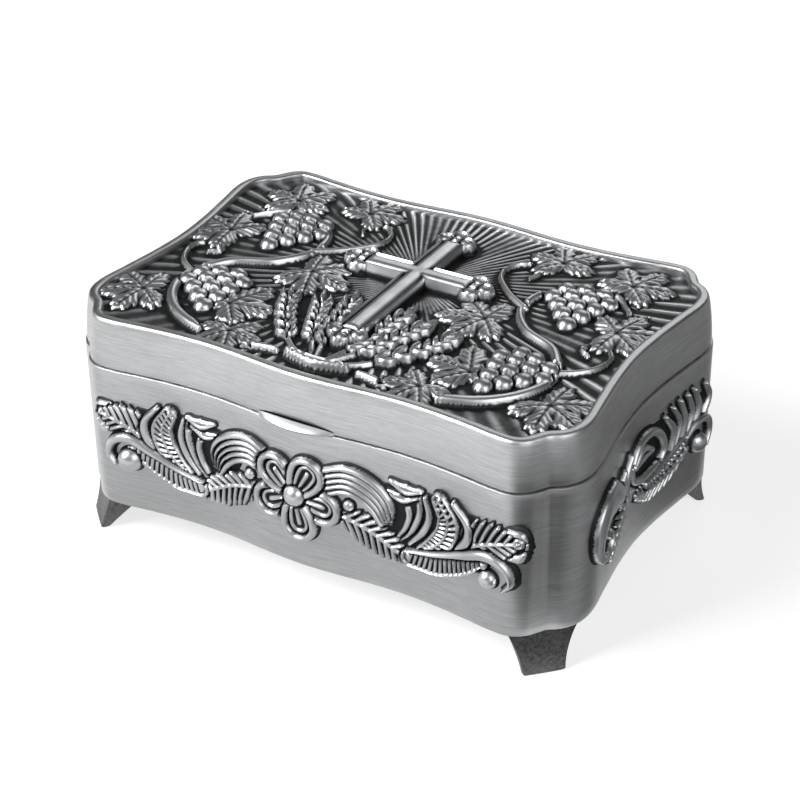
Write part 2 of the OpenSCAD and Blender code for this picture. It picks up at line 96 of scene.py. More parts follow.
# Key points of a quarter of the lid top's plan: the middle of the right side, its hollow, the
# corner's two lobes and the cove between them, the back's hollow and the bulge in its middle.
QUARTER_PLAN = np.array([
    [57.1, 0], [57.7, 9.6], [59.0, 19.2], [60, 27.4], [59.3, 31.4], [57.4, 34.2], [55.1, 35.9],
    [53.8, 37.8], [52.4, 39.7], [49.9, 41.2], [46.4, 41.3], [40, 40.5], [32, 39.65], [24, 39.35],
    [16, 39.7], [8, 40.45], [0, 40.85]])
PLAN_KEYS = np.concatenate([
    QUARTER_PLAN, QUARTER_PLAN[-2::-1] * [-1, 1], QUARTER_PLAN[1:] * [-1, -1],
    QUARTER_PLAN[-2:0:-1] * [1, -1]])
BACK_KEY, LEFT_KEY, FRONT_KEY, RIGHT_KEY = 16, 32, 48, 64
# Key points where the first corner's chamfer starts and ends
CHAMFER_KEYS = np.array([4.0, 9.0])


def unit(v):
    """Vectors cut or stretched to a length of 1."""
    return v / np.linalg.norm(v, axis=-1, keepdims=True)


def hermite(a, b, ta, tb, t):
    """Cubic from a to b with tangents ta and tb, and its slope, at t from 0 to 1."""
    point = ((2 * t**3 - 3 * t**2 + 1) * a + (t**3 - 2 * t**2 + t) * ta
             + (3 * t**2 - 2 * t**3) * b + (t**3 - t**2) * tb)
    slope = ((6 * t**2 - 6 * t) * a + (3 * t**2 - 4 * t + 1) * ta
             + (6 * t - 6 * t**2) * b + (3 * t**2 - 2 * t) * tb)
    return point, slope


def plan(s, reach):
    """Points of the plan, reach mm outside the lid top's edge, at s key points anticlockwise from
    the middle of the right side: a cubic through the keys, whose tangent at each key bisects the
    chords that meet there, moved out along its normal."""
    count = len(PLAN_KEYS)
    chords = unit(np.roll(PLAN_KEYS, -1, axis=0) - PLAN_KEYS)
    tangents = unit(chords + np.roll(chords, 1, axis=0))
    i = np.floor(s).astype(int)
    t = (s - i)[..., None]
    a, b = PLAN_KEYS[i % count], PLAN_KEYS[(i + 1) % count]
    chord = np.linalg.norm(b - a, axis=-1, keepdims=True)
    point, slope = hermite(a, b, chord * tangents[i % count], chord * tangents[(i + 1) % count], t)
    along = unit(slope)
    return point + np.asarray(reach)[..., None] * np.stack([along[..., 1], -along[..., 0]], -1)


# ---- Meshes from grids --------------------------------------------------------------------------


def mesh_piece(name, points, quads, caps=(), sharp=None, **attributes):
    """An object from points in mm about the plan's middle, four-cornered faces and many-cornered
    caps. Numbers given per point are kept as attributes; edges that turn more than "sharp"
    degrees stay crisp."""
    loops = np.concatenate([np.asarray(quads).ravel(), *[np.asarray(cap) for cap in caps]])
    sizes = np.concatenate([np.full(len(quads), 4), [len(cap) for cap in caps]]).astype(int)
    starts = np.concatenate([[0], np.cumsum(sizes)[:-1]])
    mesh = bpy.data.meshes.new(name)
    mesh.vertices.add(len(points))
    spots = (np.asarray(points) + PLAN_MIDDLE) * MM
    mesh.vertices.foreach_set("co", spots.astype(np.float32).ravel())
    mesh.loops.add(len(loops))
    mesh.loops.foreach_set("vertex_index", loops.astype(np.int32))
    mesh.polygons.add(len(sizes))
    mesh.polygons.foreach_set("loop_start", starts.astype(np.int32))
    mesh.polygons.foreach_set("use_smooth", np.ones(len(sizes), bool))
    mesh.update(calc_edges=True)
    for key, values in attributes.items():
        layer = mesh.attributes.new(key, "FLOAT", "POINT")
        layer.data.foreach_set("value", np.asarray(values, np.float32).ravel())
    if sharp is not None:
        mesh.set_sharp_from_angle(angle=math.radians(sharp))
    piece = bpy.data.objects.new(name, mesh)
    bpy.context.scene.collection.objects.link(piece)
    return piece


def grid_quads(rows, cols, wrap_rows=False, wrap_cols=False):
    """Faces of a grid of points numbered row by row, closed on itself where it wraps."""
    index = np.arange(rows * cols).reshape(rows, cols)
    if wrap_rows:
        index = np.concatenate([index, index[:1]])
    if wrap_cols:
        index = np.concatenate([index, index[:, :1]], axis=1)
    return np.stack([index[:-1, :-1], index[:-1, 1:], index[1:, 1:], index[1:, :-1]], -1).reshape(-1, 4)


def ring_piece(name, rings, closed_loop=False, **options):
    """A skin through rings of points, lowest first and anticlockwise from above, with its first
    and last ring capped or, in a closed loop, joined to each other."""
    rings = np.asarray(rings)
    count, around = rings.shape[:2]
    quads = grid_quads(count, around, wrap_rows=closed_loop, wrap_cols=True)
    ends = () if closed_loop else (np.arange(around)[::-1], np.arange(around) + (count - 1) * around)
    return mesh_piece(name, rings.reshape(-1, 3), quads, ends, **options)


AROUND = 768
RING = BACK_KEY + np.arange(AROUND) * len(PLAN_KEYS) / AROUND


def plan_ring(reach, z):
    """The plan at one height, as a ring of points."""
    flat = plan(RING, np.full(AROUND, float(reach)))
    return np.column_stack([flat, np.full(AROUND, float(z))])


# ---- Materials ----------------------------------------------------------------------------------


class Finish:
    """A node material under construction: add() makes a node and sets or links its inputs."""

    def __init__(self, name):
        self.material = bpy.data.materials.new(name)
        self.material.use_nodes = True
        self.tree = self.material.node_tree
        self.shader = self.tree.nodes["Principled BSDF"]

    def put(self, node, values):
        """Sets or links inputs, which are given by their names or numbers."""
        for key, value in values.items():
            socket = node.inputs[key]
            if isinstance(value, bpy.types.NodeSocket):
                self.tree.links.new(value, socket)
            else:
                socket.default_value = value

    def add(self, kind, inputs=None, **settings):
        node = self.tree.nodes.new("ShaderNode" + kind)
        for key, value in settings.items():
            setattr(node, key, value)
        self.put(node, inputs or {})
        return node.outputs

    def place(self, scale):
        """Object coordinates in metres, stretched by scale per axis."""
        spot = self.add("TexCoord")["Object"]
        return self.add("Mapping", {"Vector": spot, "Scale": scale})["Vector"]

    def noise(self, scale, detail=2.0, roughness=0.5):
        """Cloudy noise from 0 to 1, with about scale spots to the metre along each axis."""
        return self.add("TexNoise", {"Vector": self.place(scale), "Scale": 1.0, "Detail": detail,
                                     "Roughness": roughness})["Fac"]

    def spread(self, value, low, high, to_low, to_high):
        """value carried from the range low..high to to_low..to_high, smoothly and clamped."""
        return self.add("MapRange", {"Value": value, "From Min": low, "From Max": high,
                                     "To Min": to_low, "To Max": to_high},
                        interpolation_type="SMOOTHSTEP")["Result"]

    def blend(self, factor, a, b):
        """Colour a where factor is 0 and b where it is 1; a colour mix takes them as its inputs 0,
        6 and 7 and gives its output 2."""
        return self.add("Mix", {0: factor, 6: a, 7: b}, data_type="RGBA")[2]

    def math(self, operation, a, b):
        return self.add("Math", {0: a, 1: b}, operation=operation)["Value"]

    def bump(self, height, strength, distance):
        return self.add("Bump", {"Height": height, "Strength": strength, "Distance": distance})["Normal"]

    def attribute(self, name):
        return self.add("Attribute", attribute_name=name)["Fac"]


def grey(value, warmth=0.0):
    """A grey, warmer or, below 0, cooler."""
    return (value + warmth, value, value - warmth, 1.0)


def brushed_pewter():
    """Fine scratches along the walls, with a grain across them, over slow cloudy tarnish."""
    f = Finish("brushed_pewter")
    scratches = f.noise((260.0, 260.0, 9000.0), 3.0, 0.7)
    wide_scratches = f.noise((70.0, 70.0, 2600.0), 3.0, 0.6)
    clouds = f.noise((38.0, 38.0, 70.0), 3.0, 0.55)
    streak = f.math("ADD", f.math("MULTIPLY", scratches, 0.6), f.math("MULTIPLY", wide_scratches, 0.4))
    tone = f.blend(f.spread(streak, 0.34, 0.66, 0.0, 1.0), grey(0.44, -0.006), grey(0.63, -0.01))
    tone = f.blend(f.spread(clouds, 0.38, 0.7, 0.0, 0.30), tone, grey(0.38, 0.0))
    f.put(f.shader, {"Base Color": tone, "Metallic": 1.0,
                     "Roughness": f.spread(streak, 0.3, 0.7, 0.36, 0.46),
                     "Normal": f.bump(streak, 0.35, 0.0001)})
    return f.material


def antique_relief():
    """Rubbed bright on the high spots, dark in the sunk lines: the patina attribute says how sunk a spot
    is; on the thumb lift it also carries painted shade on the lip's underside.
    """
    f = Finish("antique_relief")
    patina = f.attribute("patina")
    specks = f.noise((700.0, 700.0, 700.0), 3.0, 0.6)
    clouds = f.noise((120.0, 120.0, 120.0), 2.0, 0.5)
    dirt = f.math("ADD", patina, f.math("MULTIPLY", f.math("SUBTRACT", specks, 0.5), 0.2))
    bright = f.blend(f.spread(clouds, 0.35, 0.65, 0.0, 1.0), grey(0.54, -0.012), grey(0.68, -0.014))
    tone = f.blend(f.spread(dirt, 0.12, 0.72, 0.0, 1.0), bright, grey(0.035, -0.001))
    f.put(f.shader, {"Base Color": tone, "Metallic": 1.0,
                     "Roughness": f.spread(dirt, 0.1, 0.9, 0.38, 0.6),
                     "Normal": f.bump(specks, 0.08, 0.0001)})
    return f.material


def dark_casting():
    """Unbrushed casting with a dark grainy skin."""
    f = Finish("dark_casting")
    grain = f.noise((1400.0, 1400.0, 1400.0), 4.0, 0.7)
    clouds = f.noise((160.0, 160.0, 160.0), 2.0, 0.5)
    tone = f.blend(f.spread(grain, 0.3, 0.7, 0.0, 1.0), grey(0.045), grey(0.13))
    tone = f.blend(f.spread(clouds, 0.4, 0.7, 0.0, 0.4), tone, grey(0.18))
    f.put(f.shader, {"Base Color": tone, "Metallic": 0.9, "Roughness": 0.46,
                     "Normal": f.bump(grain, 0.3, 0.0002)})
    return f.material


def satin_steel():
    """Steel with fine lines drawn across the hinge."""
    f = Finish("satin_steel")
    lines = f.noise((2500.0, 120.0, 120.0), 2.0, 0.5)
    f.put(f.shader, {"Base Color": f.blend(lines, grey(0.5), grey(0.66)), "Metallic": 1.0,
                     "Roughness": 0.34, "Normal": f.bump(lines, 0.1, 0.0001)})
    return f.material


def wine_velvet():
    """Short pile: dark where it is looked into, with a pale sheen along its slopes."""
    f = Finish("wine_velvet")
    pile = f.noise((2600.0, 2600.0, 2600.0), 3.0, 0.7)
    strokes = f.noise((70.0, 110.0, 70.0), 2.0, 0.6)
    tone = f.blend(f.spread(pile, 0.3, 0.7, 0.0, 1.0), (0.10, 0.004, 0.012, 1), (0.24, 0.012, 0.035, 1))
    tone = f.blend(f.spread(strokes, 0.4, 0.65, 0.0, 0.5), tone, (0.30, 0.02, 0.05, 1))
    f.put(f.shader, {"Base Color": tone, "Metallic": 0.0, "Roughness": 0.9, "Sheen Weight": 0.3,
                     "Sheen Roughness": 0.35, "Sheen Tint": (0.9, 0.45, 0.5, 1),
                     "Normal": f.bump(pile, 0.5, 0.0004)})
    return f.material


PEWTER = brushed_pewter()
RELIEF = antique_relief()
CASTING = dark_casting()
STEEL = satin_steel()
VELVET = wine_velvet()


def coat(piece, material):
    """Covers a whole piece in one material."""
    piece.data.materials.clear()
    piece.data.materials.append(material)


def dress(piece, material, body, slot, *nodes):
    """Gives a finished piece its material and its body, and hides the nodes it stands for; slot is not
    used.
    """
    coat(piece, material)
    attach(piece, body)
    if nodes:
        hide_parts(*nodes)
    return piece


# ---- Walls and lid ------------------------------------------------------------------------------


def underside_opening(z):
    """The cut-cornered opening under the floor, as a ring that keeps step with the plan's."""
    half_length, half_width, half_cut = 54.0, 36.5, 75.5
    way = unit(plan(RING, np.zeros(AROUND)))
    size = np.maximum.reduce([np.abs(way[:, 0]) / half_length, np.abs(way[:, 1]) / half_width,
                              np.abs(way).sum(1) / half_cut])
    return np.column_stack([way / size[:, None], np.full(AROUND, z)])


def hinge_seat(name, low, high):
    """The flat pad behind the hinge: a box with small bevels, sunk into the wall."""
    depth, bevel = 2.4, 0.25
    half, y = SEAT_HALF, SEAT_BACK
    profile = np.array([[-half, y - depth], [half, y - depth], [half, y - bevel],
                        [half - bevel, y], [-half + bevel, y], [-half, y - bevel]])
    rings = [np.column_stack([profile, np.full(len(profile), z)]) for z in (low, high)]
    return ring_piece(name, rings, sharp=30)


def body_wall():
    """The casting's skin: (reach, height) pairs from the outer lower edge up to the rim, down the
    inside and over the flange to the opening under the floor."""
    r, edge = BODY_REACH, 0.35
    profile = [(r - edge, FOOT_TOP), (r - 0.1, FOOT_TOP + 0.1), (r, FOOT_TOP + edge),
               *[(r, z) for z in np.linspace(FOOT_TOP + 2, SEAM - 2, 16)],
               (r, SEAM - 0.3), (r - 0.06, SEAM - 0.1), (r - 0.2, SEAM), (CAVITY_REACH, SEAM),
               (CAVITY_REACH, FLOOR_BOTTOM)]
    rings = [plan_ring(*spot) for spot in profile]
    rings += [underside_opening(FLOOR_BOTTOM), underside_opening(FOOT_TOP)]
    return ring_piece("body_wall", rings, closed_loop=True, sharp=32)


def lid_wall():
    """The lid's skin: outside from the seam to the round of the rim, down to the field, and, from
    the seam inwards, the step that clears the lining and the hollow under the top."""
    outside = [(LID_REACH - 0.6, 0.02), (LID_REACH - 0.4, 0.12), (LID_REACH - 0.14, 0.26),
               (LID_REACH - 0.03, 0.42), (LID_REACH, 0.6), (LID_REACH, 1.6),
               (1.02, 3.2), (0.85, 5.0), (0.7, 6.5), (0.5, 8.0), (0.33, 9.1), (0.15, 10.1),
               (0.04, 10.6), (-0.1, 11.0), (-0.3, 11.3), (-0.55, 11.45), (-0.8, 11.5),
               (-1.5, 11.5), (-1.9, 11.46), (-2.15, 11.3), (-2.3, 11.05), (-2.32, 10.6)]
    clearance = 0.5
    step, step_reach = LINING_TOP + clearance, CAVITY_REACH + clearance
    inside = [(CAVITY_REACH, LID_LINING_HIGH), (CAVITY_REACH, step), (step_reach, step),
              (step_reach, SEAM + 0.02)]
    field = (-RIM_WIDTH, FIELD)
    profile = [*inside, *[(reach, SEAM + rise) for reach, rise in outside], field]
    return ring_piece("lid_wall", [plan_ring(*spot) for spot in profile], sharp=32)


dress(body_wall(), PEWTER, "box", "body_metal", "body_shell")
dress(hinge_seat("body_hinge_seat", SEAT_LOW, SEAM), PEWTER, "box", "body_metal")
dress(lid_wall(), PEWTER, "lid", "body_metal", "lid_shell")
dress(hinge_seat("lid_hinge_seat", SEAM, SEAT_HIGH), PEWTER, "lid", "body_metal")


# ---- Feet ---------------------------------------------------------------------------------------


def foot(name, sx, sy):
    """A bracket foot: at each height a round-cornered block whose face kicks out and whose back
    closes in on it towards the toe; it stands on the chamfer of its corner, turned 45 degrees."""
    ends = plan(CHAMFER_KEYS, np.full(2, BODY_REACH))
    middle, half = ends.mean(0), np.linalg.norm(ends[1] - ends[0]) / 2
    out, side = unit(np.array([1.0, 1.0])), unit(np.array([-1.0, 1.0]))
    kick, narrowing, toe, depth, corner = 2.2, 0.62, 2.0, 8.6, 0.45
    turns = np.linspace(0, TURN, 48, endpoint=False) + TURN / 8
    square = np.column_stack([np.cos(turns), np.sin(turns)])
    sides = np.clip(square * 1.6, -1, 1)
    rings = []
    for z in np.concatenate([[0.0, 0.12, 0.4], np.linspace(1, FOOT_TOP, 14)]):
        t = z / FOOT_TOP
        face = kick * (1 - t) ** 1.5
        back = face - (toe + (depth - toe) * t)
        width = half * (narrowing + (1 - narrowing) * t**1.6)
        shrink = max(0.0, 0.35 - z) * 0.9
        v = (face + back) / 2 + (sides[:, 0] * ((face - back) / 2 - corner - shrink)
                                 + square[:, 0] * corner)
        u = sides[:, 1] * (width - corner - shrink) + square[:, 1] * corner
        flat = middle + v[:, None] * out + u[:, None] * side
        rings.append(np.column_stack([flat * [sx, sy], np.full(len(flat), z)]))
    if sx * sy < 0:
        rings = [ring[::-1] for ring in rings]
    return ring_piece(name, rings, sharp=50)


for side_name, sx in (("left", -1), ("right", 1)):
    for end_name, sy in (("front", -1), ("back", 1)):
        node = f"foot_{end_name}_{side_name}"
        dress(foot(node + "_casting", sx, sy), CASTING, "box", "foot_metal", node)


# ---- Thumb lift ---------------------------------------------------------------------------------


def thumb_lift():
    """A crescent on the lid's lower front edge: cross-sections from tip to tip, each with a notch
    along the wall and a face that slopes down to a thin lip; its reach follows 1 - u^2."""
    half, reach, top = 9.3, 2.5, 1.75
    u = np.linspace(-1, 1, 81)
    swell = np.maximum(1 - u**2, 0.0) ** 0.75
    section = np.array([[-0.5, 0.08], [-0.5, 1.0], [0.02, 1.0], [0.06, 0.56], [0.2, 0.52],
                        [0.27, 0.88], [0.34, 0.94], [0.6, 0.74], [0.9, 0.46], [1.0, 0.33],
                        [1.0, 0.22], [0.94, 0.1], [0.8, 0.06]])
    # Darkness per section point: patina in the notch along the wall, and painted shade on the lip's
    # underside
    sunk = np.array([0, 0, 0.8, 1, 1, 0.9, 0.1, 0, 0, 0, 0.2, 0.8, 1])
    x = half * u
    front = np.linspace(FRONT_KEY - 3, FRONT_KEY + 3, 601)
    wall = plan(front, np.full(len(front), LID_REACH))
    y = np.interp(x, wall[:, 0], wall[:, 1])
    out = np.where(section[:, 0] < 0, section[:, 0], section[:, 0] * reach)
    rings = np.stack([
        np.broadcast_to(x[:, None], (len(u), len(section))),
        y[:, None] - np.where(out < 0, out, out * swell[:, None]),
        SEAM + section[:, 1] * top * (0.45 + 0.55 * swell[:, None])], -1)
    return ring_piece("thumb_lift_crescent", rings, sharp=35,
                      patina=np.tile(sunk, len(u)))


dress(thumb_lift(), RELIEF, "lid", "body_metal", "thumb_lift")

# ---- Relief engine ------------------------------------------------------------------------------


def smooth_path(keys, steps=10):
    """A cubic through given key points, as a polyline."""
    keys = np.asarray(keys, float)
    padded = np.concatenate([keys[:1], keys, keys[-1:]])
    tangents = unit(padded[2:] - padded[:-2])
    t = np.linspace(0, 1, steps, endpoint=False)[:, None]
    spans = []
    for a, b, ta, tb in zip(keys[:-1], keys[1:], tangents[:-1], tangents[1:]):
        chord = np.linalg.norm(b - a)
        spans.append(hermite(a, b, ta * chord, tb * chord, t)[0])
    return np.concatenate([*spans, keys[-1:]])


def dome(edge, radius):
    """0 at an edge, rising as a quarter circle to 1 where the edge is "radius" away."""
    return np.sqrt(np.clip(1 - (1 - np.clip(edge / radius, 0, 1)) ** 2, 0, 1))


def wave(phase):
    """A cosine between 0 and 1: 1 at whole phases and 0 halfway between them."""
    return 0.5 + 0.5 * np.cos(TURN * phase)


class Relief:
    """A height field in mm over points x, y. Motifs are laid on in turn; each lies over what is
    there, with a sunk line round it."""

    def __init__(self, x, y, ground):
        self.x, self.y = x.ravel(), y.ravel()
        self.shape = x.shape
        self.ground = ground
        self.height = np.full(self.x.size, float(ground))
        self.edge = np.full(self.x.size, -9.0)

    def near(self, points, margin):
        """Which grid points lie in the box round some points, widened by a margin."""
        low, high = np.min(points, axis=0) - margin, np.max(points, axis=0) + margin
        return np.flatnonzero((self.x > low[0]) & (self.x < high[0])
                              & (self.y > low[1]) & (self.y < high[1]))

    def lay(self, at, edge, height, moat=0.45):
        """Lays a motif on grid points, where edge is how far each lies inside its outline."""
        ring = at[(edge <= 0) & (edge > -moat)]
        self.height[ring] = np.minimum(self.height[ring], self.ground)
        on = edge > 0
        self.height[at[on]] = self.ground + height[on]
        self.edge[at] = np.maximum(self.edge[at], edge)

    def follow(self, keys, margin):
        """For points near a path: which they are, how far along it they lie (in mm and from 0 to
        1), how far to its left, and how far away."""
        line = smooth_path(keys)
        at = self.near(line, margin)
        start, step = line[:-1], np.diff(line, axis=0)
        length = np.linalg.norm(step, axis=1)
        dx = self.x[at][:, None] - start[:, 0]
        dy = self.y[at][:, None] - start[:, 1]
        t = np.clip((dx * step[:, 0] + dy * step[:, 1]) / length**2, 0, 1)
        ox, oy = dx - t * step[:, 0], dy - t * step[:, 1]
        best = np.argmin(ox**2 + oy**2, axis=1)
        row = np.arange(len(at))
        away = np.hypot(ox[row, best], oy[row, best])
        left = np.sign(step[best, 0] * oy[row, best] - step[best, 1] * ox[row, best]) * away
        run = np.concatenate([[0], np.cumsum(length)])
        mm = run[best] + t[row, best] * length[best]
        return at, mm, mm / run[-1], left, away

    def plume(self, keys, widths, rise, grooves=0, depth=0.35, edge_round=0.9, moat=0.4):
        """A rounded stroke of changing width, with grooves along it."""
        at, mm, t, left, away = self.follow(keys, max(widths) / 2 + 1)
        half = np.interp(t, np.linspace(0, 1, len(widths)), widths) / 2
        edge = half - away
        height = rise * dome(edge, np.minimum(edge_round, half))
        if grooves:
            across = np.clip(left / np.maximum(half, 0.05), -1, 1)
            height = height - depth * wave((across + 1) / 2 * grooves) * dome(edge, 0.6)
        self.lay(at, edge, height, moat)

    def ribbon(self, keys, widths, rise, pitch, rail=0.9, depth=0.9, slant=0.0, midrib=0.0):
        """A band with a raised rail on each edge, ribs across its sunk middle and, where midrib
        is its width, a rail down the middle."""
        at, mm, t, left, away = self.follow(keys, max(widths) / 2 + 1)
        half = np.interp(t, np.linspace(0, 1, len(widths)), widths) / 2
        edge = half - away
        rails = rise * dome(edge, rail / 2) * dome(rail - edge, rail / 2)
        ribs = rise - depth + 0.8 * depth * wave((mm + slant * left) / pitch) ** 0.8
        inner = np.maximum(rails, ribs * dome(edge - rail * 0.7, 0.3))
        height = np.where(edge < rail * 0.75, rails, inner)
        if midrib:
            height = np.maximum(height, rise * dome(midrib / 2 - away, midrib / 2))
        self.lay(at, edge, height)

    def fern(self, keys, widths, rise, pitch, lean=0.9, sides=(1, 1), scallop=0.2):
        """A leaf with a midrib and slanting ribs, whose edge is scalloped in step with them;
        sides stretches its left and right halves."""
        at, mm, t, left, away = self.follow(keys, max(widths) / 2 * max(sides) + 1.5)
        half = np.interp(t, np.linspace(0, 1, len(widths)), widths) / 2
        half = half * np.where(left > 0, sides[0], sides[1])
        phase = (mm - lean * away) / pitch
        edge = half * (1 - scallop + scallop * wave(phase)) - away
        ribs = wave(phase) ** 0.7
        height = rise * dome(edge, 0.6) * (0.2 + 0.8 * ribs)
        midrib = rise * 1.1 * dome(0.55 - away, 0.55)
        self.lay(at, edge, np.maximum(height, midrib))

    def ball(self, spot, radius, rise):
        """A dome on a round outline."""
        at = self.near([spot], radius + 1)
        away = np.hypot(self.x[at] - spot[0], self.y[at] - spot[1])
        self.lay(at, radius - away, rise * dome(radius - away, radius))

    def petal(self, heart, turn, length, width, rise, rim=1.6):
        """A petal that widens from its heart to a round end: a thick rolled rim, open towards
        the heart, round a sunk inside with three ridges."""
        out = np.array([math.sin(turn), math.cos(turn)])
        tip = np.asarray(heart) + out * (length - width / 2)
        at, mm, t, left, away = self.follow([heart, tip], width / 2 + 1)
        half = width / 2 * (0.36 + 0.64 * np.sin(t * math.pi / 2))
        edge = half - away
        rolled = dome(edge, rim / 2) * dome(rim * 1.05 - edge, rim / 2) ** 0.5
        across = np.abs(left) / np.maximum(half - rim, 0.2)
        ridges = 0.12 + 0.62 * wave(across * 1.5) * np.clip(1.25 - t * 0.5, 0, 1)
        ridges = np.where(across < 1, ridges, 0.1)
        inside = dome(edge - rim * 0.9, 0.35)
        self.lay(at, edge, rise * np.maximum(rolled, ridges * inside))

    def vine_leaf(self, spot, turn, size, rise):
        """A five-lobed leaf: its edge swells round the five veins that leave its heart, with fine
        teeth. Each lobe is domed, with a groove along its vein and slanting grooves beside it."""
        at = self.near([spot], size * 1.15)
        dx, dy = self.x[at] - spot[0], self.y[at] - spot[1]
        away = np.hypot(dx, dy)
        angle = (np.arctan2(dx, dy) - turn + math.pi) % TURN - math.pi
        veins = np.radians([0, 56, -56, 116, -116])
        lengths = np.array([1.0, 0.88, 0.88, 0.62, 0.62])
        turned = (angle[:, None] - veins + math.pi) % TURN - math.pi
        lobe = (lengths * np.exp(-(turned / 0.44) ** 2)).max(1)
        notch = 1 - 0.55 * np.exp(-((math.pi - np.abs(angle)) / 0.33) ** 2)
        reach = size * (0.50 + 0.50 * lobe) * notch * (1 + 0.05 * np.cos(angle * 26))
        edge = (reach - away) * 0.8
        best = np.argmin(np.abs(turned), axis=1)
        off = turned[np.arange(len(at)), best]
        aside, along = away * np.abs(np.sin(off)), away * np.cos(off)
        swell = 0.66 + 0.34 * np.cos(off * 3.1) * np.clip(away / size * 2, 0, 1)
        height = rise * dome(edge, 1.3) * swell * (0.8 + 0.2 * np.cos(away / size * 4))
        height = height - 0.5 * np.exp(-(aside / 0.3) ** 2)
        height = height - 0.3 * wave((along - 1.1 * aside) / 1.9) ** 3 * np.clip(aside / 0.6, 0, 1)
        self.lay(at, edge, np.maximum(height, 0.15), 0.5)

    def grapes(self, spot, turn, rows, radius, rise):
        """A bunch of balls in rows of the given counts, higher towards its middle."""
        down = np.array([math.sin(turn), math.cos(turn)])
        side = np.array([down[1], -down[0]])
        for row, count in enumerate(rows):
            for k in range(count):
                off = k - (count - 1) / 2
                place = np.asarray(spot) + down * row * radius * 1.62 + side * off * radius * 1.86
                lift = rise * (1 - 0.5 * (2 * off / max(rows)) ** 2 - 0.12 * abs(row - 1.2))
                at = self.near([place], radius + 1)
                away = np.hypot(self.x[at] - place[0], self.y[at] - place[1])
                ball = lift - radius * 0.9 + radius * 0.9 * dome(radius - away, radius)
                self.lay(at, radius - away, np.maximum(ball, 0.2), 0.3)

    def wheat_ear(self, keys, pairs, size, rise):
        """A stalk whose end carries overlapping pairs of grains and one last grain."""
        self.plume(keys, [1.2, 1.1, 0.9], rise * 0.6)
        line = smooth_path(keys, 16)
        spots = np.linspace(0.42, 0.96, pairs) * (len(line) - 2)
        for i in spots.astype(int):
            ahead = unit(line[i + 1] - line[i])
            side = np.array([ahead[1], -ahead[0]])
            for m in (-1, 1):
                start = line[i] + m * side * 0.25
                self.plume([start, start + size * (0.55 * ahead + 0.36 * m * side),
                            start + size * (1.15 * ahead + 0.38 * m * side)],
                           [0.5, size * 0.42, size * 0.46, 0.4], rise, moat=0.3)
        ahead = unit(line[-1] - line[-2])
        self.plume([line[-1] - ahead * 0.5, line[-1] + ahead * size * 1.1],
                   [0.6, size * 0.46, 0.4], rise * 1.05, moat=0.3)

    def cross(self, foot, head, arm, crossing, half, rise):
        """A Latin cross with three-lobed ends: a raised border round a sunk, rounded bar."""
        ends = np.array([[0, head], [0, foot], [arm, crossing], [-arm, crossing]], float)
        outs = np.array([[0, 1], [0, -1], [1, 0], [-1, 0]], float)
        at = self.near(np.concatenate([ends, -ends * [1, 0]]), half * 3)
        x, y = self.x[at], self.y[at]
        edge = np.maximum(np.minimum.reduce([half - np.abs(x), head - y, y - foot]),
                          np.minimum(half - np.abs(y - crossing), arm - np.abs(x)))
        for end, out in zip(ends, outs):
            side = np.array([out[1], -out[0]])
            for centre in (end + side * half * 0.75, end - side * half * 0.75, end + out * half * 0.7):
                edge = np.maximum(edge, half * 0.78 - np.hypot(x - centre[0], y - centre[1]))
        border = dome(edge, 0.5) * dome(1.15 - edge, 0.5)
        middle = 0.55 + 0.4 * dome(edge - 1.1, 1.6)
        height = rise * np.maximum(border * 0.9, middle * dome(edge - 0.8, 0.4))
        self.lay(at, edge, height, 0.6)

    def blurred(self, field, cells):
        """field smoothed by a bell of about "cells" grid cells."""
        reach = int(3 * cells)
        bell = np.exp(-0.5 * (np.arange(-reach, reach + 1) / cells) ** 2)
        bell /= bell.sum()
        grid = np.pad(field.reshape(self.shape), reach, mode="edge")
        grid = sum(w * grid[k:k + self.shape[0], :] for k, w in enumerate(bell))
        grid = sum(w * grid[:, k:k + self.shape[1]] for k, w in enumerate(bell))
        return grid.ravel()

    def patina(self, cells, on_ground):
        """1 where the surface lies well below its surroundings, 0 on high spots; on_ground is what
        lying on the ground adds."""
        sunk = self.blurred(self.height, cells) - self.height
        low = np.clip(1 - (self.height - self.ground) / 0.5, 0, 1)
        return np.clip(0.30 + sunk * 2.2 + low * on_ground, 0, 1)


def bare_relief(half_length, low, high, step, ground):
    """A level relief over a rectangle, with points a step apart."""
    x, y = np.meshgrid(np.arange(-half_length, half_length, step), np.arange(low, high, step))
    return Relief(x, y, ground)


